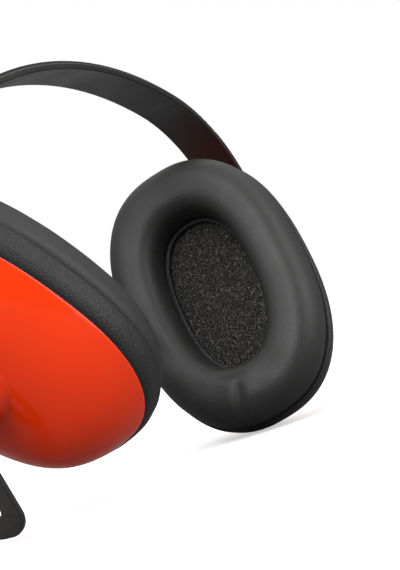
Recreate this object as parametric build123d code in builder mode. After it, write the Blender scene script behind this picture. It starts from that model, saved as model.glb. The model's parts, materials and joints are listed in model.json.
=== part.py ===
from build123d import *

import os
from math import copysign, cos, radians, sin

# Earmuff hearing protector, in millimetres.
# +X is the wearer's right, +Y the back of the head and +Z up to the crown.
# The origin lies half way between the two ball joints that carry the cups.

# Headband: one moulded strip with a straight, slotted end on each side
BAND_WIDTH = 17.0
BAND_THICKNESS = 2.2
BAND_EDGE = 0.6
BAND_TIP_RADIUS = 7.0
SIDE_RADIUS = 65.0
SIDE_TOP_ANGLE = 66.0
END_LEAN = 20.3
END_ABOVE_PIVOT = 6.0
END_BELOW_PIVOT = 36.0
RIB_WIDTH = 2.2
RIB_HEIGHT = 0.9
RIB_SETBACK = 1.1
RIB_START_ANGLE = -4.0

# Ball joint between the band's end and the cup
PIVOT_X = 90.8
PIVOT_TO_BAND = 8.93
BALL_RADIUS = 4.5
BALL_PLAY = 0.08
BUSH_THICKNESS = 1.72
SOCKET_PLAY = 0.06
MOUTH_HEIGHT = 3.0
NECK_RADIUS = 2.0
COLLAR_RADIUS = 3.2
COLLAR_START = 5.2
COLLAR_THICKNESS = 1.0
SHANK_RADIUS = 1.5
SHANK_PLAY = 0.06
SHANK_END = 12.2

# Height adjustment: a tongue slides in the slot of the band's end
TRAVEL = 24.0
SLOT_WIDTH = 5.4
TONGUE_WIDTH = 4.8
TONGUE_LENGTH = 10.0
SLOT_PLAY = 0.3
SLIDE_GAP = 0.28
CARRIAGE_START = 6.3
CARRIAGE_LENGTH = 18.0
CARRIAGE_WIDTH = 15.0
CARRIAGE_CORNER = 3.0
COVER_THICKNESS = 3.0
COVER_EDGE = 0.9
RECESS_FLOOR = 0.9
RECESS_RADIUS = 3.7
CLIP_RADIUS = 3.2
CLIP_THICKNESS = 0.6
CLIP_GAP = 0.1
CAP_THICKNESS = 0.8
CAP_PLAY = 0.05
GRIP_OFFSETS = (-7.2, -5.4, 5.4, 7.2)
GRIP_WIDTH = 0.8
GRIP_DEPTH = 0.5
GRIP_LENGTH = 10.0

# Ear cup: depths are measured outwards from the plane of the rim's front edge,
# and insets inwards from the rim's outline
OVAL_POWER = 2.42
OVAL_POINTS = 28
CUP_LONG = 52.0
CUP_SHORT = 35.6
PIVOT_TO_RIM = 36.8
RIM_DEPTH = 9.1
RIM_PROFILE = ((0.0, 0.0), (5.5, 0.5), (RIM_DEPTH, 2.5))
RIM_BORE_INSET = 5.4
SHELL_PROFILE = (
    (RIM_DEPTH, 2.5), (13.0, 4.7), (17.0, 7.4), (21.0, 10.9), (25.0, 15.9), (28.0, 22.2), (29.0, 27.2),
)
SKIRT_START = 2.6
SKIRT_PLAY = 0.05
CAVITY_INSET = 7.9
CAVITY_PROFILE = ((10.0, CAVITY_INSET), (14.0, 8.4), (18.0, 10.6), (22.0, 14.6), (25.0, 19.8), (26.4, 25.0))
BOSS_RADIUS = 8.2
BOSS_FOOT_RADIUS = 12.5
BOSS_FOOT_DEPTH = 27.2
BOSS_SHOULDER_DEPTH = 34.5

# Ear cushion on its plate, and the foam that lines the cup
PLATE_INSET = 1.6
PLATE_POCKET_INSET = 1.5
PLATE_THICKNESS = 2.0
PLATE_HOLE_LONG = 29.6
PLATE_HOLE_SHORT = 15.9
CUSHION_TOP = 15.2
SKIN_THICKNESS = 0.8
FOAM_GAP = 0.05
CUSHION_OUTSIDE = (
    (0.0, 50.2, 33.8), (2.5, 51.9, 35.5), (5.0, 52.2, 35.8), (8.5, 51.6, 35.2),
    (12.0, 49.3, 32.9), (14.3, 46.2, 29.8), (CUSHION_TOP, 43.0, 26.6),
)
CUSHION_INSIDE = (
    (0.0, 30.0, 16.3), (3.0, 31.0, 16.9), (7.0, 32.8, 18.2), (11.0, 35.2, 20.1),
    (14.0, 38.2, 22.6), (CUSHION_TOP, 41.5, 25.4),
)
LINER_PROFILE = ((2.4, 8.6), (12.0, 9.2), (18.0, 12.9), (23.0, 20.2))

# How each cup stands at rest, in degrees: tilt about the front-to-back line, toe
# about the upright line, and lean of the oval's top towards the back of the head
SIDES = {
    "right": {"sign": 1, "tilt": 19.0, "toe": 11.3, "lean": 14.4},
    "left": {"sign": -1, "tilt": 33.3, "toe": -3.4, "lean": 21.4},
}

# Distances from the ball's centre outwards along the band end's normal
BAND_INNER = PIVOT_TO_BAND - BAND_THICKNESS / 2
BAND_OUTER = PIVOT_TO_BAND + BAND_THICKNESS / 2
CARRIAGE_END = BAND_INNER - SLIDE_GAP
COVER_START = BAND_OUTER + SLIDE_GAP
COVER_END = COVER_START + COVER_THICKNESS
SOCKET_RADIUS = BALL_RADIUS + BALL_PLAY + BUSH_THICKNESS + SOCKET_PLAY


def end_directions():
    """Directions of the right band end: outwards, and up along the strip."""
    lean = radians(END_LEAN)
    return Vector(cos(lean), 0, -sin(lean)), Vector(sin(lean), 0, cos(lean))


def end_plane(sign):
    """Plane through a ball's centre, x up along the band's end and z outwards."""
    outward, upward = end_directions()
    return Plane(
        origin=(sign * PIVOT_X, 0, 0),
        x_dir=(sign * upward.X, 0, upward.Z),
        z_dir=(sign * outward.X, 0, outward.Z),
    )


def cup_plane(sign, tilt, toe, lean):
    """Plane of a cup's rim, x to the oval's top and z inwards to the ear."""
    tilt, lean = radians(tilt), radians(lean)
    inward = Vector(-cos(tilt), 0, sin(tilt)).rotate(Axis.Z, toe)
    upward = Vector(sin(tilt), 0, cos(tilt)).rotate(Axis.Z, toe)
    backward = Vector(0, 1, 0).rotate(Axis.Z, toe)
    top = upward * cos(lean) + backward * sin(lean)
    centre = Vector(PIVOT_X, 0, 0) + inward * PIVOT_TO_RIM
    return Plane(
        origin=(sign * centre.X, centre.Y, centre.Z),
        x_dir=(sign * top.X, top.Y, top.Z),
        z_dir=(sign * inward.X, inward.Y, inward.Z),
    )


def oval_points(long_half, short_half):
    """Points round a superellipse, the cup's outline."""
    points = []
    for step in range(OVAL_POINTS):
        angle = radians(360.0 * step / OVAL_POINTS)
        along = copysign(abs(cos(angle)) ** (2 / OVAL_POWER), cos(angle))
        across = copysign(abs(sin(angle)) ** (2 / OVAL_POWER), sin(angle))
        points.append((long_half * along, short_half * across))
    return points


def oval_loft(plane, sections):
    """A solid through ovals, each given by its height and its two half lengths."""
    with BuildPart() as body:
        for height, long_half, short_half in sections:
            with BuildSketch(plane.offset(height)):
                with BuildLine():
                    Spline(*oval_points(long_half, short_half), periodic=True)
                make_face()
        loft()
    return body.part


def cup_loft(plane, profile):
    """A solid through ovals of the cup's outline, each given by depth and inset."""
    return oval_loft(plane, [(-depth, CUP_LONG - inset, CUP_SHORT - inset) for depth, inset in profile])


def cup_prism(plane, start, end, inset):
    """A straight oval block between two depths, at one inset from the rim."""
    return cup_loft(plane, ((start, inset), (end, inset)))


def band_face(start_y, inner_shift, outer_shift, start_angle, below):
    """Half of the band's side outline, from one shift of its middle line to another."""
    outward, upward = end_directions()
    tangent = Vector(PIVOT_X, 0, 0) + outward * PIVOT_TO_BAND + upward * END_ABOVE_PIVOT
    side = tangent - outward * SIDE_RADIUS
    reach = side.X / cos(radians(SIDE_TOP_ANGLE))
    crown_z = side.Z - reach * sin(radians(SIDE_TOP_ANGLE))
    sweep_angle = SIDE_TOP_ANGLE - start_angle
    with BuildSketch(Plane.XZ.offset(-start_y)) as face:
        with BuildLine():
            ends = []
            for shift in (inner_shift, outer_shift):
                arc = CenterArc((side.X, side.Z), SIDE_RADIUS + shift, start_angle, sweep_angle)
                top = CenterArc(
                    (0, crown_z), SIDE_RADIUS + reach + shift, SIDE_TOP_ANGLE, 90 - SIDE_TOP_ANGLE
                )
                foot = arc @ 0
                if below > 0:
                    low = foot - Vector(upward.X, upward.Z) * below
                    Line(low, foot)
                    foot = low
                ends.append((foot, top @ 1))
            Line(ends[0][0], ends[1][0])
            Line(ends[0][1], ends[1][1])
        make_face()
    return face.sketch


def headband():
    """The strip over the crown, ribbed outside, with a slot in each end."""
    outward, upward = end_directions()
    half = BAND_THICKNESS / 2
    strip = band_face(BAND_WIDTH / 2, -half, half, -END_LEAN, END_ABOVE_PIVOT + END_BELOW_PIVOT)
    slot_top = TONGUE_LENGTH / 2 + SLOT_PLAY
    slot_bottom = -TRAVEL - TONGUE_LENGTH / 2 - SLOT_PLAY
    slot_centre = (
        Vector(PIVOT_X, 0, 0) + outward * PIVOT_TO_BAND + upward * ((slot_top + slot_bottom) / 2)
    )
    rib_edge = BAND_WIDTH / 2 - RIB_SETBACK
    ribs = [
        band_face(start_y, half - BAND_EDGE, half + RIB_HEIGHT, RIB_START_ANGLE, 0)
        for start_y in (rib_edge, RIB_WIDTH - rib_edge)
    ]
    with BuildPart() as band:
        extrude(strip, amount=BAND_WIDTH)
        tip_axis = Axis((0, 0, 0), tuple(outward))
        fillet(band.edges().filter_by(tip_axis), BAND_TIP_RADIUS)
        side_faces = band.faces().filter_by(Plane.XZ)
        fillet(side_faces.edges().filter_by(lambda edge: edge.length > 2 * BAND_THICKNESS), BAND_EDGE)
        for rib in ribs:
            extrude(rib, amount=RIB_WIDTH)
        with BuildSketch(Plane(origin=slot_centre, x_dir=upward, z_dir=outward)):
            SlotOverall(slot_top - slot_bottom, SLOT_WIDTH)
        extrude(amount=BAND_THICKNESS, both=True, mode=Mode.SUBTRACT)
        mirror(about=Plane.YZ)
    return band.part


def slider_carriage(plane):
    """The inner half of a slider, with the tongue that runs in the slot."""
    with BuildPart() as carriage:
        with BuildSketch(plane.offset(CARRIAGE_START)):
            RectangleRounded(CARRIAGE_LENGTH, CARRIAGE_WIDTH, CARRIAGE_CORNER)
        extrude(amount=CARRIAGE_END - CARRIAGE_START)
        with BuildSketch(plane.offset(CARRIAGE_END)):
            SlotOverall(TONGUE_LENGTH, TONGUE_WIDTH)
        extrude(amount=COVER_START - CARRIAGE_END)
        with BuildSketch(plane.offset(CARRIAGE_START)):
            Circle(SHANK_RADIUS + SHANK_PLAY)
        extrude(amount=COVER_START - CARRIAGE_START, mode=Mode.SUBTRACT)
    return carriage.part


def slider_cover(plane):
    """The outer half of a slider: a gripped block over the end of the stud."""
    with BuildPart() as cover:
        with BuildSketch(plane.offset(COVER_START)):
            RectangleRounded(CARRIAGE_LENGTH, CARRIAGE_WIDTH, CARRIAGE_CORNER)
        extrude(amount=COVER_THICKNESS)
        top_face = cover.faces().sort_by(Axis(tuple(plane.origin), tuple(plane.z_dir)))[-1]
        fillet(top_face.edges(), COVER_EDGE)
        with BuildSketch(plane.offset(COVER_END)):
            with Locations(*[(offset, 0) for offset in GRIP_OFFSETS]):
                Rectangle(GRIP_WIDTH, GRIP_LENGTH)
        extrude(amount=-GRIP_DEPTH, mode=Mode.SUBTRACT)
        with BuildSketch(plane.offset(COVER_END)):
            Circle(RECESS_RADIUS)
        extrude(amount=RECESS_FLOOR - COVER_THICKNESS, mode=Mode.SUBTRACT)
        with BuildSketch(plane.offset(COVER_START)):
            Circle(SHANK_RADIUS + SHANK_PLAY)
        extrude(amount=RECESS_FLOOR, mode=Mode.SUBTRACT)
    return cover.part


def slider_cap(plane):
    """The disc that closes the recess in the slider's cover."""
    with BuildPart() as cap:
        with BuildSketch(plane.offset(COVER_END - CAP_THICKNESS)):
            Circle(RECESS_RADIUS - CAP_PLAY)
        extrude(amount=CAP_THICKNESS)
    return cap.part


def pivot_stud(plane):
    """The ball with its neck, collar and the shank that turns in the slider."""
    with BuildPart() as stud:
        with Locations(plane.location):
            Sphere(BALL_RADIUS)
        for start, end, radius in (
            (0.0, COLLAR_START, NECK_RADIUS),
            (COLLAR_START, COLLAR_START + COLLAR_THICKNESS, COLLAR_RADIUS),
            (COLLAR_START + COLLAR_THICKNESS, SHANK_END, SHANK_RADIUS),
        ):
            with BuildSketch(plane.offset(start)):
                Circle(radius)
            extrude(amount=end - start)
    return stud.part


def stud_clip(plane):
    """The push-on ring that holds the stud in the slider."""
    with BuildPart() as clip:
        with BuildSketch(plane.offset(COVER_START + RECESS_FLOOR + CLIP_GAP)):
            Circle(CLIP_RADIUS)
            Circle(SHANK_RADIUS, mode=Mode.SUBTRACT)
        extrude(amount=CLIP_THICKNESS)
    return clip.part


def pivot_bush(plane):
    """The ball-shaped bush between the stud's ball and the cup's socket."""
    inner = BALL_RADIUS + BALL_PLAY
    outer = inner + BUSH_THICKNESS
    with BuildPart() as bush:
        with Locations(plane.offset(-PIVOT_TO_RIM).location):
            Sphere(outer)
            Sphere(inner, mode=Mode.SUBTRACT)
        with BuildSketch(plane.offset(-PIVOT_TO_RIM - MOUTH_HEIGHT)):
            Circle(2 * outer)
        extrude(amount=-outer, mode=Mode.SUBTRACT)
    return bush.part


def shell(plane):
    """The domed cup, with a skirt inside the rim and the socket on its back."""
    dome = cup_loft(plane, SHELL_PROFILE)
    skirt = cup_prism(plane, SKIRT_START, RIM_DEPTH, RIM_BORE_INSET + SKIRT_PLAY)
    mouth = cup_prism(plane, SKIRT_START, CAVITY_PROFILE[0][0], CAVITY_INSET)
    cavity = cup_loft(plane, CAVITY_PROFILE)
    boss_end = PIVOT_TO_RIM + MOUTH_HEIGHT
    with BuildPart() as cup:
        add(dome)
        add(skirt)
        with BuildSketch(plane.offset(-BOSS_FOOT_DEPTH)):
            Circle(BOSS_FOOT_RADIUS)
        with BuildSketch(plane.offset(-BOSS_SHOULDER_DEPTH)):
            Circle(BOSS_RADIUS)
        loft()
        with BuildSketch(plane.offset(-BOSS_SHOULDER_DEPTH)):
            Circle(BOSS_RADIUS)
        extrude(amount=BOSS_SHOULDER_DEPTH - boss_end)
        with Locations(plane.offset(-PIVOT_TO_RIM).location):
            Sphere(SOCKET_RADIUS, mode=Mode.SUBTRACT)
        add(mouth, mode=Mode.SUBTRACT)
        add(cavity, mode=Mode.SUBTRACT)
    return cup.part


def rim(plane):
    """The ring round the cup's mouth, with a pocket for the cushion's plate."""
    outside = cup_loft(plane, RIM_PROFILE)
    bore = cup_prism(plane, 0.0, RIM_DEPTH, RIM_BORE_INSET)
    pocket = cup_prism(plane, 0.0, PLATE_THICKNESS, PLATE_POCKET_INSET)
    with BuildPart() as ring:
        add(outside)
        add(bore, mode=Mode.SUBTRACT)
        add(pocket, mode=Mode.SUBTRACT)
    return ring.part


def cushion_plate(plane):
    """The oval plate that the cushion is welded to."""
    outside = cup_prism(plane, 0.0, PLATE_THICKNESS, PLATE_INSET)
    hole = oval_loft(
        plane,
        (
            (0.0, PLATE_HOLE_LONG, PLATE_HOLE_SHORT),
            (-PLATE_THICKNESS, PLATE_HOLE_LONG, PLATE_HOLE_SHORT),
        ),
    )
    with BuildPart() as plate:
        add(outside)
        add(hole, mode=Mode.SUBTRACT)
    return plate.part


def cushion_body(plane, thinner):
    """The padded ring, made smaller all round by a thickness except at its base."""
    squeeze = (CUSHION_TOP - thinner) / CUSHION_TOP
    outside = [
        (height * squeeze, long_half - thinner, short_half - thinner)
        for height, long_half, short_half in CUSHION_OUTSIDE
    ]
    inside = [
        (height * squeeze, long_half + thinner, short_half + thinner)
        for height, long_half, short_half in CUSHION_INSIDE
    ]
    # A smaller ring keeps a narrow flat crest where its two sides would cross
    crest_outer, crest_inner = outside[-1], inside[-1]
    if crest_inner[1] >= crest_outer[1]:
        middle = (crest_inner[1] + crest_outer[1]) / 2
        gap = middle - crest_inner[1] + SKIN_THICKNESS / 2
        outside[-1] = (crest_outer[0], crest_outer[1] + gap, crest_outer[2] + gap)
        inside[-1] = (crest_inner[0], crest_inner[1] - gap, crest_inner[2] - gap)
    block = oval_loft(plane, outside)
    opening = oval_loft(plane, inside)
    with BuildPart() as ring:
        add(block)
        add(opening, mode=Mode.SUBTRACT)
    return ring.part


def cushion_skin(plane):
    """The vinyl skin of the cushion, open where it meets the plate."""
    body = cushion_body(plane, 0.0)
    filling = cushion_body(plane, SKIN_THICKNESS)
    with BuildPart() as skin:
        add(body)
        add(filling, mode=Mode.SUBTRACT)
    return skin.part


def cushion_foam(plane):
    """The soft foam ring inside the cushion's skin."""
    return cushion_body(plane, SKIN_THICKNESS + FOAM_GAP)


def sound_foam(plane):
    """The block of open-cell foam that lines the cup."""
    return cup_loft(plane, LINER_PROFILE)


def write(name, part):
    """Label a piece and write its STEP file."""
    part.label = name
    export_step(part, f"parts/{name}.step")


def main():
    os.makedirs("parts", exist_ok=True)
    write("headband", headband())
    end_pieces = (slider_carriage, slider_cover, slider_cap, pivot_stud, stud_clip)
    cup_pieces = (pivot_bush, shell, rim, cushion_plate, cushion_skin, cushion_foam, sound_foam)
    for side, pose in SIDES.items():
        for make in end_pieces:
            write(f"{side}_{make.__name__}", make(end_plane(pose["sign"])))
        for make in cup_pieces:
            write(f"{side}_{make.__name__}", make(cup_plane(**pose)))


main()
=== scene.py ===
"""Earmuff hearing protector: soft cushions, moulded shells, materials, light and camera."""

import json
import logging
import math
from dataclasses import dataclass
from enum import Enum
from typing import Callable, Sequence

import bmesh
import bpy
import numpy as np
from mathutils import Matrix, Vector, noise


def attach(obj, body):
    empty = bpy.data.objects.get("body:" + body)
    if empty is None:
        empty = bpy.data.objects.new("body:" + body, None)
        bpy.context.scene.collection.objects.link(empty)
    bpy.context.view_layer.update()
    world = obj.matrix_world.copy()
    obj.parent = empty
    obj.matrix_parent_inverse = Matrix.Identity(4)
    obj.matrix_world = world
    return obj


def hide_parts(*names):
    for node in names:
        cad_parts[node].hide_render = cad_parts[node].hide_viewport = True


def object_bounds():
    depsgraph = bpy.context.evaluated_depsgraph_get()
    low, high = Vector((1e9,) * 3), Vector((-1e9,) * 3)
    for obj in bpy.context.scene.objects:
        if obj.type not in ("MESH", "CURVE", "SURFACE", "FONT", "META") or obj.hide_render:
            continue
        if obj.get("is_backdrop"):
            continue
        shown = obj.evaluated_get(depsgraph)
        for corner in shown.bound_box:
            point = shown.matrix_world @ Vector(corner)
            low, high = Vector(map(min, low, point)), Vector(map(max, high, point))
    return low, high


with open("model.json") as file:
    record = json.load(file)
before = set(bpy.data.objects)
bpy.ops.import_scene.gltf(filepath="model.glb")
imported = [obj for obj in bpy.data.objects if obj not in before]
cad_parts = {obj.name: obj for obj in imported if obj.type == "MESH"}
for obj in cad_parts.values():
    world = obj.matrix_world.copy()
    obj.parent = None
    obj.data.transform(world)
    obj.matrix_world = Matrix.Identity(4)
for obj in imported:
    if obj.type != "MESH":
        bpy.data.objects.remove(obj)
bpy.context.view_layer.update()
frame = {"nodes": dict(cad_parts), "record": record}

LOG = logging.getLogger("earmuff")
MM = 0.001
Station = tuple[float, float, float]
Colour = tuple[float, float, float]


class Side(Enum):
    """The two sides of the earmuff, valued by the sign of their X."""

    RIGHT = 1
    LEFT = -1

    @property
    def label(self) -> str:
        """The word that starts the names of this side's pieces."""
        return self.name.lower()


@dataclass(frozen=True)
class CupFrame:
    """How one cup stands at rest, in millimetres and degrees, as in the CAD model."""

    side: Side
    tilt: float
    toe: float
    lean: float
    pivot_x: float = 90.8
    pivot_to_rim: float = 36.8

    def axes(self) -> tuple[Vector, Vector, Vector, Vector]:
        """Work out the cup's own frame.

        Returns:
            The rim's centre, the direction to the oval's top, the direction across
            the oval and the direction into the ear.
        """
        tilt, lean = math.radians(self.tilt), math.radians(self.lean)
        turn = Matrix.Rotation(math.radians(self.toe), 3, "Z")
        inward = turn @ Vector((-math.cos(tilt), 0.0, math.sin(tilt)))
        upward = turn @ Vector((math.sin(tilt), 0.0, math.cos(tilt)))
        backward = turn @ Vector((0.0, 1.0, 0.0))
        top = upward * math.cos(lean) + backward * math.sin(lean)
        centre = Vector((self.pivot_x, 0.0, 0.0)) + inward * self.pivot_to_rim
        flip = Matrix.Diagonal((float(self.side.value), 1.0, 1.0))
        centre, top, inward = flip @ centre, flip @ top, flip @ inward
        return centre, top, inward.cross(top), inward

    def matrix(self) -> Matrix:
        """Work out how the cup's own frame lies in the model.

        Returns:
            The matrix from the cup's own millimetres to the model's metres.
        """
        centre, top, across, inward = self.axes()
        turn = Matrix((top, across, inward)).transposed().to_4x4()
        return Matrix.Scale(MM, 4) @ Matrix.Translation(centre) @ turn


def smooth_stations(stations: Sequence[Station], steps: int) -> list[Station]:
    """Round a run of stations with a Catmull-Rom curve.

    Args:
        stations: Height and two half lengths of each oval, in millimetres.
        steps: How many stations each span is divided into.

    Returns:
        The finer run of stations, from the first to the last.
    """
    points = [Vector(station) for station in stations]
    finer: list[Station] = []
    for index in range(len(points) - 1):
        start, end = points[index], points[index + 1]
        before = points[index - 1] if index else start * 2 - end
        after = points[index + 2] if index + 2 < len(points) else end * 2 - start
        for step in range(steps):
            t = step / steps
            line = 2 * start + (end - before) * t
            square = (2 * before - 5 * start + 4 * end - after) * t**2
            cube = (3 * start - before - 3 * end + after) * t**3
            finer.append(tuple(0.5 * (line + square + cube)))
    finer.append(tuple(points[-1]))
    return finer


@dataclass
class OvalSurface:
    """A skin through ovals, in a cup's own frame."""

    name: str
    stations: list[Station]
    segments: int
    closed: bool = True
    power: float = 2.42
    weld: float = 1e-4

    def point(self, station: Station, angle: float) -> Vector:
        """One point of an oval, in millimetres.

        Args:
            station: Height and two half lengths of the oval.
            angle: Angle round the oval, in radians.

        Returns:
            The point in the cup's own frame.
        """
        height, long_half, short_half = station
        along = math.copysign(abs(math.cos(angle)) ** (2 / self.power), math.cos(angle))
        across = math.copysign(abs(math.sin(angle)) ** (2 / self.power), math.sin(angle))
        return Vector((long_half * along, short_half * across, height))

    def build(self, place: Matrix, shape: Callable[[Vector], Vector] | None = None) -> bpy.types.Object:
        """Make the mesh object.

        Args:
            place: Matrix from the cup's own frame to the model's frame.
            shape: Moves a finished point, in the cup's own frame.

        Returns:
            The smooth mesh object, at the origin.
        """
        rows = len(self.stations) + (1 if self.closed else 0)
        mesh = bmesh.new()
        bmesh.ops.create_grid(mesh, x_segments=rows - 1, y_segments=self.segments, size=1.0)
        for vert in mesh.verts:
            row = round((vert.co.x + 1.0) / 2.0 * (rows - 1)) % len(self.stations)
            column = round((vert.co.y + 1.0) / 2.0 * self.segments) % self.segments
            vert.co = self.point(self.stations[row], math.tau * column / self.segments)
        bmesh.ops.remove_doubles(mesh, verts=mesh.verts, dist=self.weld)
        for vert in mesh.verts:
            vert.co = place @ (shape(vert.co.copy()) if shape else vert.co)
        bmesh.ops.recalc_face_normals(mesh, faces=mesh.faces)
        return finished(mesh, self.name)


def finished(mesh: bmesh.types.BMesh, name: str) -> bpy.types.Object:
    """Turn a bmesh into a smooth object at the origin.

    Args:
        mesh: The finished bmesh, in metres, which is freed.
        name: The object's name.

    Returns:
        The new object, linked to the scene.
    """
    for face in mesh.faces:
        face.smooth = True
    data = bpy.data.meshes.new(name)
    mesh.to_mesh(data)
    mesh.free()
    obj = bpy.data.objects.new(name, data)
    bpy.context.scene.collection.objects.link(obj)
    return obj


def take_in(obj: bpy.types.Object, extra: bmesh.types.BMesh) -> None:
    """Join a smooth bmesh to an object's own mesh.

    Args:
        obj: The object that takes it in.
        extra: The bmesh, in metres, which is freed.
    """
    for face in extra.faces:
        face.smooth = True
    data = bpy.data.meshes.new("extra")
    extra.to_mesh(data)
    extra.free()
    whole = bmesh.new()
    whole.from_mesh(obj.data)
    whole.from_mesh(data)
    whole.to_mesh(obj.data)
    whole.free()
    bpy.data.meshes.remove(data)


class Shader:
    """A node tree with short ways to add and join its nodes."""

    def __init__(self, tree: bpy.types.NodeTree) -> None:
        """Keep the tree that the nodes go into."""
        self.tree = tree

    def add(self, kind: str, inputs: dict | None = None, **settings: object) -> bpy.types.Node:
        """Add a node.

        Args:
            kind: The node's type name, without its ShaderNode start.
            inputs: Values or sockets for its inputs, by name or number.
            settings: Values for the node's own settings.

        Returns:
            The new node.
        """
        node = self.tree.nodes.new(f"ShaderNode{kind}")
        for key, value in settings.items():
            setattr(node, key, value)
        for key, value in (inputs or {}).items():
            self.feed(value, node.inputs[key])
        return node

    def feed(self, value: object, socket: bpy.types.NodeSocket) -> None:
        """Join a socket to an input, or set the input to a value.

        Args:
            value: The socket or the value.
            socket: The input.
        """
        if isinstance(value, bpy.types.NodeSocket):
            self.tree.links.new(value, socket)
        else:
            socket.default_value = value

    def blend(
        self, share: bpy.types.NodeSocket, first: Colour | bpy.types.NodeSocket, second: Colour
    ) -> bpy.types.NodeSocket:
        """Blend two colours.

        Args:
            share: How much of the second colour there is, from 0 to 1.
            first: The first colour, or the socket that gives it.
            second: The second colour.

        Returns:
            The blended colour's socket.
        """
        first = first if isinstance(first, bpy.types.NodeSocket) else (*first, 1.0)
        return self._mix("RGBA", (share, first, (*second, 1.0)))

    def choose(
        self, share: bpy.types.NodeSocket, first: float | bpy.types.NodeSocket, second: float
    ) -> bpy.types.NodeSocket:
        """Blend two numbers.

        Args:
            share: How much of the second number there is, from 0 to 1.
            first: The first number, or the socket that gives it.
            second: The second number.

        Returns:
            The blended number's socket.
        """
        return self._mix("FLOAT", (share, first, second))

    def _mix(self, kind: str, values: Sequence[object]) -> bpy.types.NodeSocket:
        """Add a mix node.

        Args:
            kind: What it mixes: RGBA or FLOAT.
            values: The share, the first and the second, as values or sockets.

        Returns:
            The mixed socket.
        """
        node = self.add("Mix", data_type=kind)
        for value, socket in zip(values, [socket for socket in node.inputs if socket.enabled]):
            self.feed(value, socket)
        return next(socket for socket in node.outputs if socket.enabled)

    def stretch(
        self,
        value: bpy.types.NodeSocket,
        span: tuple[float, float],
        result: Sequence[float | bpy.types.NodeSocket],
        curve: str = "LINEAR",
    ) -> bpy.types.NodeSocket:
        """Map one span of values onto another, held at both ends.

        Args:
            value: The value to map.
            span: The two values that are mapped onto the result's ends.
            result: What the two ends become.
            curve: How the values between run.

        Returns:
            The mapped value's socket.
        """
        ends = {"From Min": span[0], "From Max": span[1], "To Min": result[0], "To Max": result[1]}
        node = self.add("MapRange", {"Value": value, **ends}, interpolation_type=curve)
        return node.outputs["Result"]

    def group(self, tree: bpy.types.NodeTree, values: dict[str, float]) -> bpy.types.Node:
        """Place a node group with its own values.

        Args:
            tree: The group to place.
            values: The value of each of its inputs.

        Returns:
            The group's node.
        """
        node = self.tree.nodes.new("ShaderNodeGroup")
        node.node_tree = tree
        for label, value in values.items():
            node.inputs[label].default_value = value
        return node


@dataclass
class Paint:
    """A new node material while its nodes are being joined."""

    name: str

    def __post_init__(self) -> None:
        """Make the material and find its shader node."""
        self.material = bpy.data.materials.new(self.name)
        self.material.use_nodes = True
        self.shader = Shader(self.material.node_tree)
        self.surface = self.material.node_tree.nodes["Principled BSDF"]

    def finish(self, **inputs: object) -> bpy.types.Material:
        """Set the shader's inputs.

        Args:
            inputs: Values or sockets, by the input's name with _ for a space.

        Returns:
            The finished material.
        """
        for key, value in inputs.items():
            self.shader.feed(value, self.surface.inputs[key.replace("_", " ")])
        return self.material

    def bump(self, height: bpy.types.NodeSocket, depth: float) -> bpy.types.NodeSocket:
        """The normal of a bumpy surface of a given depth in metres."""
        node = self.shader.add("Bump", {"Height": height, "Strength": 1.0, "Distance": depth})
        return node.outputs["Normal"]


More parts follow.
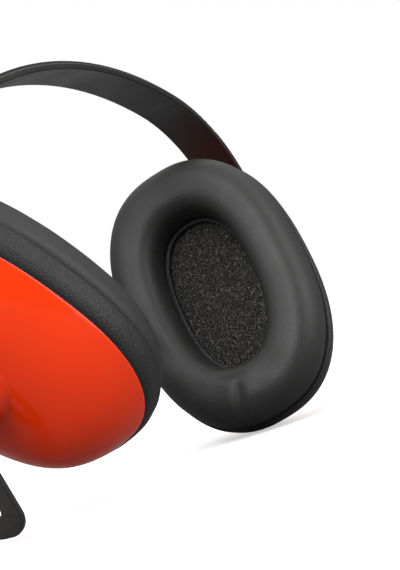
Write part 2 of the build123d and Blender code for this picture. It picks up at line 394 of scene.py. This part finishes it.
class Effects:
    """Node groups that more than one finish uses, each built once."""

    _made: dict[str, bpy.types.NodeTree] = {}
    _cloud_span = (0.3, 0.7)
    _edge_span = (0.51, 0.6)

    @classmethod
    def _group(
        cls, name: str, inputs: dict[str, float], outputs: Sequence[str], fill: Callable[..., dict]
    ) -> bpy.types.NodeTree:
        """Build a group once.

        Args:
            name: The group's name.
            inputs: Its float inputs and their defaults.
            outputs: Its float outputs.
            fill: Adds the nodes and returns the socket for each output.

        Returns:
            The node group.
        """
        if name not in cls._made:
            tree = bpy.data.node_groups.new(name, "ShaderNodeTree")
            for label, value in inputs.items():
                socket = tree.interface.new_socket(label, in_out="INPUT", socket_type="NodeSocketFloat")
                socket.default_value = value
            for label in outputs:
                tree.interface.new_socket(label, in_out="OUTPUT", socket_type="NodeSocketFloat")
            start = tree.nodes.new("NodeGroupInput")
            end = tree.nodes.new("NodeGroupOutput")
            for label, socket in fill(Shader(tree), start.outputs).items():
                tree.links.new(socket, end.inputs[label])
            cls._made[name] = tree
        return cls._made[name]

    @classmethod
    def grain(cls) -> bpy.types.NodeTree:
        """Fine moulded grain with a cloudy change of gloss."""
        inputs = {"Grain": 1800.0, "Cloud": 60.0, "Smooth": 0.4, "Rough": 0.6}
        return cls._group("moulded_grain", inputs, ("Height", "Roughness", "Cloud"), cls._fill_grain)

    @classmethod
    def edges(cls) -> bpy.types.NodeTree:
        """A mask of rubbed edges, broken up by noise."""
        return cls._group("rubbed_edges", {"Breaks": 320.0}, ("Mask",), cls._fill_edges)

    @classmethod
    def _fill_grain(cls, shader: Shader, given: bpy.types.NodeOutputs) -> dict:
        """Add the nodes of the grain.

        Args:
            shader: The group's tree.
            given: The sockets of the group's inputs.

        Returns:
            The socket for each output.
        """
        place = shader.add("TexCoord").outputs["Object"]
        fine = shader.add("TexNoise", {"Vector": place, "Scale": given["Grain"], "Detail": 4.0})
        cells = shader.add("TexVoronoi", {"Vector": place, "Scale": given["Grain"]}, feature="SMOOTH_F1")
        height = shader.add("Math", {0: fine.outputs["Fac"], 1: cells.outputs["Distance"]}, operation="ADD")
        cloud = shader.add("TexNoise", {"Vector": place, "Scale": given["Cloud"], "Detail": 5.0})
        cloudy = cloud.outputs["Fac"]
        gloss = shader.stretch(cloudy, cls._cloud_span, (given["Smooth"], given["Rough"]))
        return {"Height": height.outputs[0], "Roughness": gloss, "Cloud": cloudy}

    @classmethod
    def _fill_edges(cls, shader: Shader, given: bpy.types.NodeOutputs) -> dict:
        """Add the nodes of the rubbed edges.

        Args:
            shader: The group's tree.
            given: The sockets of the group's inputs.

        Returns:
            The socket for each output.
        """
        place = shader.add("TexCoord").outputs["Object"]
        sharp = shader.add("NewGeometry").outputs["Pointiness"]
        rubbed = shader.stretch(sharp, cls._edge_span, (0.0, 1.0))
        breaks = shader.add("TexNoise", {"Vector": place, "Scale": given["Breaks"], "Detail": 6.0})
        worn = shader.add("Math", {0: rubbed, 1: breaks.outputs["Fac"]}, operation="MULTIPLY")
        return {"Mask": worn.outputs[0]}


@dataclass(frozen=True)
class MouldedFinish:
    """A moulded plastic, from glossy shell to grained rim."""

    name: str
    colour: Colour
    shade: Colour
    edge: Colour
    smooth: float
    rough: float
    grain: float
    depth: float
    specular: float = 0.5
    cloud: float = 45.0
    breaks: float = 320.0

    def build(self) -> bpy.types.Material:
        """Make the material.

        Returns:
            The node material.
        """
        paint = Paint(self.name)
        shader = paint.shader
        values = {"Grain": self.grain, "Cloud": self.cloud, "Smooth": self.smooth, "Rough": self.rough}
        grain = shader.group(Effects.grain(), values)
        worn = shader.group(Effects.edges(), {"Breaks": self.breaks})
        body = shader.blend(grain.outputs["Cloud"], self.colour, self.shade)
        return paint.finish(
            Base_Color=shader.blend(worn.outputs["Mask"], body, self.edge),
            Roughness=grain.outputs["Roughness"],
            Normal=paint.bump(grain.outputs["Height"], self.depth),
            Specular_IOR_Level=self.specular,
        )


@dataclass(frozen=True)
class VinylFinish:
    """Matt charcoal vinyl, finely pored, as on an ear cushion."""

    name: str = "matt_vinyl"
    colour: Colour = (0.0125, 0.0122, 0.0118)
    shade: Colour = (0.021, 0.0198, 0.0188)
    smooth: float = 0.47
    rough: float = 0.6
    pores: float = 1500.0
    cloud: float = 38.0
    wrinkles: float = 240.0
    wrinkle_share: float = 1.6
    depth: float = 0.00004

    def build(self) -> bpy.types.Material:
        """Make the material.

        Returns:
            The node material.
        """
        paint = Paint(self.name)
        shader = paint.shader
        values = {"Grain": self.pores, "Cloud": self.cloud, "Smooth": self.smooth, "Rough": self.rough}
        grain = shader.group(Effects.grain(), values)
        place = shader.add("TexCoord").outputs["Object"]
        folds = shader.add(
            "TexNoise", {"Vector": place, "Scale": self.wrinkles, "Detail": 3.0, "Distortion": 0.6}
        )
        height = shader.add(
            "Math",
            {0: folds.outputs["Fac"], 1: self.wrinkle_share, 2: grain.outputs["Height"]},
            operation="MULTIPLY_ADD",
        )
        return paint.finish(
            Base_Color=shader.blend(grain.outputs["Cloud"], self.colour, self.shade),
            Roughness=grain.outputs["Roughness"],
            Normal=paint.bump(height.outputs[0], self.depth),
            Specular_IOR_Level=0.5,
        )


@dataclass(frozen=True)
class FoamFinish:
    """Open-cell foam: charcoal strands, with painted shade in the cell hollows and painted glints on the
    strands.
    """

    name: str = "open_cell_foam"
    painted_pit_shade: Colour = (0.006, 0.006, 0.0062)
    strand: Colour = (0.055, 0.053, 0.05)
    glint: Colour = (0.6, 0.57, 0.52)
    cells: float = 900.0
    wall: float = 0.22
    specks: float = 1900.0
    glint_span: tuple[float, float] = (0.575, 0.69)
    depth: float = 0.0004

    def build(self) -> bpy.types.Material:
        """Make the material.

        Returns:
            The node material.
        """
        paint = Paint(self.name)
        shader = paint.shader
        place = shader.add("TexCoord").outputs["Object"]
        cells = shader.add("TexVoronoi", {"Vector": place, "Scale": self.cells}, feature="DISTANCE_TO_EDGE")
        walls = shader.stretch(cells.outputs["Distance"], (0.0, self.wall), (1.0, 0.0))
        specks = shader.add(
            "TexNoise", {"Vector": place, "Scale": self.specks, "Detail": 6.0, "Roughness": 0.7}
        )
        speck = specks.outputs["Fac"]
        # Painted glints: bright specks of highlight painted into the base colour.
        glints = shader.stretch(speck, self.glint_span, (0.0, 1.0))
        # Painted shade: the hollows of the cells are darkened in the base colour, away from the strands.
        body = shader.blend(walls, self.painted_pit_shade, self.strand)
        height = shader.add("Math", {0: walls, 1: speck}, operation="ADD")
        # The base colour holds the painted pit shade and the painted glints.
        return paint.finish(
            Base_Color=shader.blend(glints, body, self.glint),
            Normal=paint.bump(height.outputs[0], self.depth),
            Roughness=0.9,
            Specular_IOR_Level=0.3,
        )


@dataclass(frozen=True)
class SteelFinish:
    """Bright spring steel, slightly cloudy."""

    name: str = "spring_steel"
    colour: Colour = (0.48, 0.48, 0.5)
    shade: Colour = (0.6, 0.6, 0.61)
    smooth: float = 0.22
    rough: float = 0.4
    grain: float = 2600.0
    cloud: float = 500.0

    def build(self) -> bpy.types.Material:
        """Make the material.

        Returns:
            The node material.
        """
        paint = Paint(self.name)
        values = {"Grain": self.grain, "Cloud": self.cloud, "Smooth": self.smooth, "Rough": self.rough}
        grain = paint.shader.group(Effects.grain(), values)
        return paint.finish(
            Base_Color=paint.shader.blend(grain.outputs["Cloud"], self.colour, self.shade),
            Roughness=grain.outputs["Roughness"],
            Metallic=1.0,
        )


SHELL_RED = MouldedFinish(
    name="glossy_red_shell",
    colour=(0.84, 0.04, 0.0016),
    shade=(0.78, 0.034, 0.0013),
    edge=(0.86, 0.06, 0.01),
    smooth=0.1,
    rough=0.2,
    grain=700.0,
    depth=0.000006,
    specular=0.32,
)
RIM_BLACK = MouldedFinish(
    name="grained_black_rim",
    colour=(0.008, 0.0082, 0.0092),
    shade=(0.013, 0.0132, 0.0145),
    edge=(0.035, 0.035, 0.037),
    smooth=0.34,
    rough=0.5,
    grain=2300.0,
    depth=0.00016,
    specular=0.4,
)
BAND_BLACK = MouldedFinish(
    name="satin_black_band",
    colour=(0.0105, 0.01, 0.0095),
    shade=(0.017, 0.0155, 0.0145),
    edge=(0.05, 0.048, 0.046),
    smooth=0.26,
    rough=0.4,
    grain=1300.0,
    depth=0.00002,
)
BUSH_PLASTIC = MouldedFinish(
    name="natural_bush_plastic",
    colour=(0.55, 0.54, 0.5),
    shade=(0.62, 0.61, 0.57),
    edge=(0.7, 0.69, 0.66),
    smooth=0.35,
    rough=0.5,
    grain=1500.0,
    depth=0.00001,
)


@dataclass(frozen=True)
class Puff:
    """A cloth simulation that blows a soft piece up."""

    swell: float = 0.7 * MM
    pressure: float = 4.0
    frames: int = 20
    quality: int = 6

    def blow(self, obj: bpy.types.Object, pinned: Sequence[int]) -> None:
        """Blow the piece up and keep the result in its mesh.

        Args:
            obj: The piece, whose mesh is changed.
            pinned: Vertices that stay where they are.
        """
        rest = np.empty(len(obj.data.vertices) * 3)
        obj.data.vertices.foreach_get("co", rest)
        blown = self._run(obj, pinned, np.empty_like(rest))
        move = (blown - rest).reshape(-1, 3)
        move = np.where(np.isfinite(move), move, 0.0)
        length = np.linalg.norm(move, axis=1, keepdims=True)
        move *= np.minimum(1.0, self.swell / np.maximum(length, 1e-9))
        obj.data.vertices.foreach_set("co", (rest.reshape(-1, 3) + move).ravel())
        obj.data.update()

    def _run(self, obj: bpy.types.Object, pinned: Sequence[int], blown: np.ndarray) -> np.ndarray:
        """Step the cloth through its frames and take it off again.

        Args:
            obj: The piece.
            pinned: Vertices that stay where they are.
            blown: Room for the coordinates.

        Returns:
            The coordinates at the last frame.
        """
        group = obj.vertex_groups.new(name="held")
        group.add(list(pinned), 1.0, "REPLACE")
        cloth = obj.modifiers.new("puffed", "CLOTH")
        cloth.settings.use_pressure = True
        cloth.settings.uniform_pressure_force = self.pressure
        cloth.settings.vertex_group_mass = group.name
        cloth.settings.effector_weights.gravity = 0.0
        cloth.settings.quality = self.quality
        cloth.point_cache.frame_end = self.frames
        scene = bpy.context.scene
        for index in range(1, self.frames + 1):
            scene.frame_set(index)
        graph = bpy.context.evaluated_depsgraph_get()
        obj.evaluated_get(graph).data.vertices.foreach_get("co", blown)
        obj.modifiers.remove(cloth)
        obj.vertex_groups.remove(group)
        scene.frame_set(1)
        return blown


@dataclass(frozen=True)
class Dent:
    """A soft hollow in a cushion, or a bulge where its depth is below zero."""

    along: float
    across: float
    radius: float
    depth: float

    def push(self, point: Vector) -> float:
        """How far the surface moves out at a point of the cup's own frame, in millimetres."""
        square = (point.x - self.along) ** 2 + (point.y - self.across) ** 2
        return -self.depth * math.exp(-square / self.radius**2)


@dataclass(frozen=True)
class Crease:
    """A crease across a cushion, with the vinyl bunched up a little beside it."""

    start: tuple[float, float]
    end: tuple[float, float]
    width: float
    depth: float
    end_fade: float = 0.75
    bunch: float = 0.22
    bunch_place: float = 2.6
    bunch_width: float = 1.5

    def push(self, point: Vector) -> float:
        """How far the surface moves out near the crease.

        Args:
            point: A point in the cup's own frame, in millimetres.

        Returns:
            The distance in millimetres, below zero where the surface sinks.
        """
        start = Vector(self.start)
        line = Vector(self.end) - start
        flat = Vector((point.x, point.y)) - start
        along = max(0.0, min(1.0, flat.dot(line) / line.length_squared))
        away = (flat - line * along).length
        depth = self.depth * (1.0 - self.end_fade * abs(2.0 * along - 1.0) ** 3)
        beside = (away - self.bunch_place * self.width) / (self.bunch_width * self.width)
        return depth * (self.bunch * math.exp(-(beside**2)) - math.exp(-((away / self.width) ** 2)))


@dataclass
class Cushion:
    """A padded ring of vinyl over foam."""

    cup: CupFrame
    finish: bpy.types.Material
    reliefs: Sequence[Dent | Crease]
    top: float = 15.2
    outer_half: tuple[float, float] = (51.6, 35.2)
    inner_half: tuple[float, float] = (30.3, 16.4)
    outer_power: float = 2.6
    inner_power: float = 3.3
    outer_tuck: float = 1.5
    inner_tuck: float = 0.5
    tuck_height: float = 3.2
    section_steps: int = 34
    segments: int = 264
    held_below: float = 0.7
    relief_start: float = 0.8
    relief_rise: float = 3.0
    long_to_short: float = 1.45
    crest_half: float = 42.0
    base_shares: tuple[float, ...] = (-0.6, -0.2, 0.2, 0.6)
    waves: tuple[tuple[float, float], ...] = ((0.3, 0.045), (0.07, 0.16))
    puff: Puff = Puff()

    def stations(self) -> list[Station]:
        """Work out the section: a full round outside, a steeper inner lip and a flat base.

        Returns:
            The section's stations, from the outer foot over the crest and back along the base.
        """
        middle = [(outer + inner) / 2.0 for outer, inner in zip(self.outer_half, self.inner_half)]
        reach = [(outer - inner) / 2.0 for outer, inner in zip(self.outer_half, self.inner_half)]
        stations = []
        for step in range(self.section_steps + 1):
            angle = math.pi * step / self.section_steps
            power = self.outer_power if angle < math.pi / 2.0 else self.inner_power
            sideways = math.copysign(abs(math.cos(angle)) ** (2.0 / power), math.cos(angle))
            height = self.top * math.sin(angle) ** (2.0 / power)
            most = self.outer_tuck if sideways > 0.0 else self.inner_tuck
            tuck = most * max(0.0, 1.0 - height / self.tuck_height) ** 2 * sideways
            stations.append((height, *(mid + half * sideways - tuck for mid, half in zip(middle, reach))))
        for share in self.base_shares:
            stations.append((0.0, *(mid + half * share for mid, half in zip(middle, reach))))
        return stations

    def relief(self, point: Vector) -> Vector:
        """Press creases and slight unevenness into the blown cushion.

        Args:
            point: A point in the cup's own frame, in millimetres.

        Returns:
            The moved point.
        """
        if point.z < self.relief_start:
            return point
        rise = min(1.0, (point.z - self.relief_start) / self.relief_rise)
        drift = sum(size * noise.noise(point * rate) for size, rate in self.waves)
        push = rise * (drift + sum(relief.push(point) for relief in self.reliefs))
        sideways = Vector((point.x, point.y * self.long_to_short, 0.0))
        outward = sideways.normalized() * (1.0 if sideways.length > self.crest_half else -1.0)
        upright = point.z / self.top
        return point + (Vector((0.0, 0.0, upright)) + outward * (1.0 - upright)) * push

    def build(self) -> bpy.types.Object:
        """Blow the cushion up, crease it and finish it.

        Returns:
            The cushion.
        """
        side = self.cup.side.label
        place = self.cup.matrix()
        obj = OvalSurface(f"{side}_ear_cushion", self.stations(), self.segments).build(place)
        back = place.inverted()
        verts = obj.data.vertices
        self.puff.blow(obj, [vert.index for vert in verts if (back @ vert.co).z < self.held_below])
        for vert in obj.data.vertices:
            vert.co = place @ self.relief(back @ vert.co)
        smoother = obj.modifiers.new("rounded", "SUBSURF")
        smoother.levels = smoother.render_levels = 1
        obj.data.materials.append(self.finish)
        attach(obj, f"{side}_cup")
        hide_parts(f"{side}_cushion_skin", f"{side}_cushion_foam")
        return obj


@dataclass
class CupParts:
    """The hard parts of a cup and the foam that lines it, in millimetres.

    A profile's pair is a depth behind the rim's front edge and an inset from its outline. The
    socket's pairs are a radius and a depth, and the pits' pairs are a size and a rate of noise.
    """

    cup: CupFrame
    shell_finish: bpy.types.Material
    rim_finish: bpy.types.Material
    foam_finish: bpy.types.Material
    long_half: float = 52.0
    short_half: float = 35.6
    rim_profile: tuple[tuple[float, float], ...] = (
        (0.5, 0.1), (0.1, 0.5), (0.0, 1.45), (2.05, 1.5), (2.1, 5.4), (8.7, 5.4), (9.1, 5.0),
        (9.1, 3.2), (8.75, 2.35), (7.9, 1.72), (6.6, 1.0), (5.2, 0.5), (3.0, 0.22), (1.3, 0.04),
    )
    dome_profile: tuple[tuple[float, float], ...] = (
        (9.12, 3.0), (9.35, 2.75), (10.2, 3.05), (13.0, 4.7), (17.0, 7.4), (21.0, 10.9),
        (25.0, 15.9), (27.6, 21.2),
    )
    crown: tuple[Station, ...] = (
        (-28.5, 26.5, 10.2), (-28.95, 21.5, 7.4), (-29.05, 12.0, 4.2), (-29.05, 0.0, 0.0),
    )
    dome_steps: int = 3
    hollow_top: tuple[Station, ...] = ((-26.45, 0.0, 0.0), (-26.45, 14.0, 5.4))
    hollow_profile: tuple[tuple[float, float], ...] = (
        (26.4, 25.0), (25.0, 19.8), (22.0, 14.6), (18.0, 10.6), (14.0, 8.4), (10.0, 7.9), (2.6, 7.9),
        (2.6, 5.45), (9.12, 5.45),
    )
    liner_profile: tuple[tuple[float, float], ...] = ((12.0, 9.4), (18.0, 13.1), (22.9, 20.4))
    liner_face: Station = (-2.75, 43.2, 26.8)
    liner_edge: Station = (-3.2, 43.4, 27.0)
    liner_back: tuple[Station, ...] = ((-22.95, 14.0, 7.0), (-22.95, 0.0, 0.0))
    face_steps: int = 72
    face_reach: float = 0.05
    pits: tuple[tuple[float, float], ...] = ((0.26, 1.1), (0.16, 2.6), (0.25, 0.12))
    painted_pit_shade_sink: float = 0.12
    ball_depth: float = 36.8
    socket_radius: float = 6.36
    socket_profile: tuple[tuple[float, float], ...] = (
        (0.0, 27.6), (13.6, 27.6), (11.6, 28.9), (10.0, 30.6), (8.9, 32.8), (8.3, 35.2), (8.2, 38.9),
        (8.0, 39.55), (7.6, 39.8), (6.1, 39.8),
    )
    socket_mouth: float = 62.0
    socket_steps: int = 8
    socket_segments: int = 64
    rim_sharp: float = 38.0
    shell_sharp: float = 40.0
    hard_segments: int = 192
    foam_segments: int = 240

    def inset(self, profile: Sequence[tuple[float, float]]) -> list[Station]:
        """Turn pairs of depth and inset into stations."""
        return [(-depth, self.long_half - inset, self.short_half - inset) for depth, inset in profile]

    def rim(self) -> bpy.types.Object:
        """The grained ring round the cup's mouth.

        Returns:
            The rim, which stands for the CAD rim.
        """
        name = f"{self.cup.side.label}_cup_rim"
        surface = OvalSurface(name, self.inset(self.rim_profile), self.hard_segments)
        obj = surface.build(self.cup.matrix())
        return self._dress(obj, self.rim_finish, "rim", self.rim_sharp)

    def shell(self) -> bpy.types.Object:
        """The domed cup with its ball socket.

        Returns:
            The shell, which stands for the CAD shell.
        """
        hollow = [*self.hollow_top, *self.inset(self.hollow_profile)]
        dome = smooth_stations(self.inset(self.dome_profile), self.dome_steps)
        name = f"{self.cup.side.label}_cup_shell"
        place = self.cup.matrix()
        stations = [*hollow, *dome, *self.crown]
        obj = OvalSurface(name, stations, self.hard_segments, closed=False).build(place)
        self._add_socket(obj, place)
        return self._dress(obj, self.shell_finish, "shell", self.shell_sharp)

    def _socket_line(self) -> list[tuple[float, float]]:
        """Work out the socket's profile with the round hollow for the ball.

        Returns:
            Pairs of radius and depth, from the hidden foot to the bottom of the hollow.
        """
        line = list(self.socket_profile)
        for step in range(self.socket_steps + 1):
            angle = math.radians(self.socket_mouth - step * (self.socket_mouth + 90.0) / self.socket_steps)
            depth = self.ball_depth + self.socket_radius * math.sin(angle)
            line.append((self.socket_radius * math.cos(angle), depth))
        return line

    def _add_socket(self, obj: bpy.types.Object, place: Matrix) -> None:
        """Stand the flared ball socket on the back of the dome.

        Args:
            obj: The dome.
            place: Matrix from the cup's own frame to the model's frame.
        """
        socket = bmesh.new()
        verts = [socket.verts.new((radius, 0.0, -depth)) for radius, depth in self._socket_line()]
        line = [socket.edges.new(pair) for pair in zip(verts, verts[1:])]
        turn = {"axis": (0.0, 0.0, 1.0), "angle": math.tau, "steps": self.socket_segments}
        bmesh.ops.spin(socket, geom=verts + line, cent=(0.0, 0.0, 0.0), use_merge=True, **turn)
        bmesh.ops.remove_doubles(socket, verts=socket.verts, dist=1e-4)
        bmesh.ops.transform(socket, matrix=place, verts=socket.verts)
        bmesh.ops.recalc_face_normals(socket, faces=socket.faces)
        take_in(obj, socket)

    def pitted(self, point: Vector) -> Vector:
        """Roughen the face of the foam.

        Args:
            point: A point in the cup's own frame, in millimetres.

        Returns:
            The same point, moved where it lies on the face.
        """
        if point.z > self.liner_face[0] - self.face_reach:
            point.z += sum(size * noise.noise(point * rate) for size, rate in self.pits) - self.painted_pit_shade_sink
        return point

    def foam(self) -> bpy.types.Object:
        """The open-cell foam behind the cushion's opening.

        Returns:
            The foam block, which stands for the CAD block.
        """
        front, face_long, face_short = self.liner_face
        shares = [step / self.face_steps for step in range(self.face_steps + 1)]
        face = [(front, share * face_long, share * face_short) for share in shares]
        stations = [*face, self.liner_edge, *self.inset(self.liner_profile), *self.liner_back]
        name = f"{self.cup.side.label}_foam_liner"
        surface = OvalSurface(name, stations, self.foam_segments, closed=False)
        obj = surface.build(self.cup.matrix(), self.pitted)
        return self._dress(obj, self.foam_finish, "sound_foam")

    def _dress(
        self,
        obj: bpy.types.Object,
        finish: bpy.types.Material,
        node: str,
        sharp: float | None = None,
    ) -> bpy.types.Object:
        """Give a cup's piece its finish and its place in the model.

        Args:
            obj: The piece.
            finish: Its material.
            node: The end of the CAD node's name that it stands for.
            sharp: Edges turned by more than this angle, in degrees, stay sharp.

        Returns:
            The same piece.
        """
        side = self.cup.side.label
        obj.data.materials.append(finish)
        if sharp is not None:
            obj.data.set_sharp_from_angle(angle=math.radians(sharp))
        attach(obj, f"{side}_cup")
        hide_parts(f"{side}_{node}")
        return obj


@dataclass
class HardFrame:
    """The headband, sliders and ball joints, which keep their CAD meshes."""

    finishes: dict[str, bpy.types.Material]

    def dress(self) -> list[str]:
        """Put a finish on every CAD piece that is shown.

        Returns:
            The names of the pieces.
        """
        dressed = []
        slots = {part["node"]: part["material_slot"] for part in frame["record"]["subparts"]}
        for name, slot in slots.items():
            node = frame["nodes"][name]
            if slot not in self.finishes or name.endswith("_rim"):
                continue
            for place in node.material_slots:
                place.material = self.finishes[slot]
            dressed.append(name)
        return dressed


@dataclass(frozen=True)
class Lamp:
    """One soft square lamp, placed from the earmuff's centre in metres."""

    name: str
    place: tuple[float, float, float]
    size: float
    power: float

    def hang(self, centre: Vector) -> None:
        """Hang the lamp and aim it at the centre.

        Args:
            centre: The middle of the earmuff.
        """
        data = bpy.data.lights.new(self.name, "AREA")
        data.size = self.size
        data.energy = self.power
        away = Vector(self.place)
        turn = (-away).to_track_quat("-Z", "Y").to_matrix().to_4x4()
        obj = bpy.data.objects.new(self.name, data)
        obj.matrix_world = Matrix.Translation(centre + away) @ turn
        bpy.context.scene.collection.objects.link(obj)


@dataclass
class Studio:
    """A pale floor, soft light and the camera."""

    lamps: tuple[Lamp, ...] = (
        Lamp("key", (-0.945, -0.18, 0.63), size=0.7, power=11.5),
        Lamp("fill", (0.27, -0.99, 0.315), size=0.9, power=7.0),
    )
    side_glow: float = 0.17
    top_glow: float = 1.2
    glow_span: tuple[float, float] = (0.1, 0.95)
    floor_size: float = 6.0
    floor_gap: float = 0.0004
    floor_paint: Colour = (0.22, 0.22, 0.22)
    floor_seen: Colour = (0.86, 0.86, 0.86)
    floor_lift: float = 0.5
    focal_length: float = 97.5
    camera_place: tuple[float, float, float] = (-0.42708, -0.28288, 0.0081)
    camera_turn: tuple[float, float, float] = (90.9686, 17.3003, -59.3847)

    def floor(self) -> None:
        """Lay a flat floor that looks pale but throws little light up at the cups."""
        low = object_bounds()[0][2]
        mesh = bmesh.new()
        bmesh.ops.create_grid(mesh, x_segments=2, y_segments=2, size=self.floor_size)
        bmesh.ops.translate(mesh, vec=(0.0, 0.0, low - self.floor_gap), verts=mesh.verts)
        obj = finished(mesh, "studio_floor")
        paint = Paint("pale_floor")
        seen = paint.shader.add("LightPath").outputs["Is Camera Ray"]
        material = paint.finish(
            Base_Color=paint.shader.blend(seen, self.floor_paint, self.floor_seen),
            Emission_Strength=paint.shader.choose(seen, 0.0, self.floor_lift),
            Emission_Color=(1.0, 1.0, 1.0, 1.0),
            Roughness=0.8,
        )
        obj.data.materials.append(material)
        obj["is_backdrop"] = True

    def sky(self) -> None:
        """Light the earmuff from a pale surrounding that is brightest overhead."""
        world = bpy.data.worlds.new("pale_room")
        world.use_nodes = True
        shader = Shader(world.node_tree)
        background = world.node_tree.nodes["Background"]
        background.inputs["Color"].default_value = (1.0, 1.0, 1.0, 1.0)
        way = shader.add("SeparateXYZ", {"Vector": shader.add("TexCoord").outputs["Generated"]})
        glows = (self.side_glow, self.top_glow)
        glow = shader.stretch(way.outputs["Z"], self.glow_span, glows, "SMOOTHSTEP")
        seen = shader.add("LightPath").outputs["Is Camera Ray"]
        shader.feed(shader.choose(seen, glow, 1.0), background.inputs["Strength"])
        bpy.context.scene.world = world
        bpy.context.scene.view_settings.view_transform = "Standard"

    def camera(self) -> None:
        """Set the camera level with the cups, beside the left one and a little to the front."""
        data = bpy.data.cameras.new("camera")
        data.lens = self.focal_length
        data.clip_start = 0.01
        obj = bpy.data.objects.new("camera", data)
        obj.location = self.camera_place
        obj.rotation_euler = [math.radians(angle) for angle in self.camera_turn]
        bpy.context.scene.collection.objects.link(obj)
        bpy.context.scene.camera = obj

    def build(self) -> None:
        """Set up the floor, the surrounding, the camera and the lamps."""
        self.floor()
        self.sky()
        self.camera()
        low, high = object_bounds()
        centre = (Vector(low) + Vector(high)) / 2.0
        for lamp in self.lamps:
            lamp.hang(centre)


CUPS = (
    CupFrame(Side.RIGHT, tilt=19.0, toe=11.3, lean=14.4),
    CupFrame(Side.LEFT, tilt=33.3, toe=-3.4, lean=21.4),
)
RELIEFS = {
    Side.RIGHT: (
        Dent(-13.0, 26.5, radius=5.0, depth=0.8),
        Dent(-24.0, 22.0, radius=6.0, depth=-0.6),
        Dent(-36.0, -6.0, radius=7.0, depth=0.4),
        Crease((-38.2, 3.8), (-49.2, 9.0), width=1.5, depth=0.8),
        Crease((-47.3, -24.5), (-53.0, -3.0), width=1.6, depth=0.3),
        Crease((-32.0, 10.5), (-35.6, 0.5), width=1.6, depth=0.8),
    ),
    Side.LEFT: (
        Dent(-12.0, -27.0, radius=6.0, depth=0.5),
        Dent(14.0, 26.0, radius=8.0, depth=0.4),
        Crease((-38.0, -3.0), (-48.5, -7.0), width=1.5, depth=0.8),
        Crease((-31.0, -9.0), (-34.0, -1.0), width=1.5, depth=0.7),
    ),
}


def main() -> None:
    """Build the earmuff's pieces in order and set the scene."""
    logging.basicConfig(level=logging.INFO, format="%(name)s: %(message)s")
    shell_red, rim_black, band_black = SHELL_RED.build(), RIM_BLACK.build(), BAND_BLACK.build()
    foam, vinyl = FoamFinish().build(), VinylFinish().build()
    for cup in CUPS:
        parts = CupParts(cup, shell_red, rim_black, foam)
        for obj in (parts.shell(), parts.rim(), parts.foam()):
            LOG.info("built %s", obj.name)
        LOG.info("built %s", Cushion(cup, vinyl, RELIEFS[cup.side]).build().name)
    finishes = {
        "band_black": band_black,
        "rim_black": rim_black,
        "bush_plastic": BUSH_PLASTIC.build(),
        "spring_steel": SteelFinish().build(),
    }
    for name in HardFrame(finishes).dress():
        LOG.info("dressed %s", name)
    Studio().build()


if __name__ == "__main__":
    main()
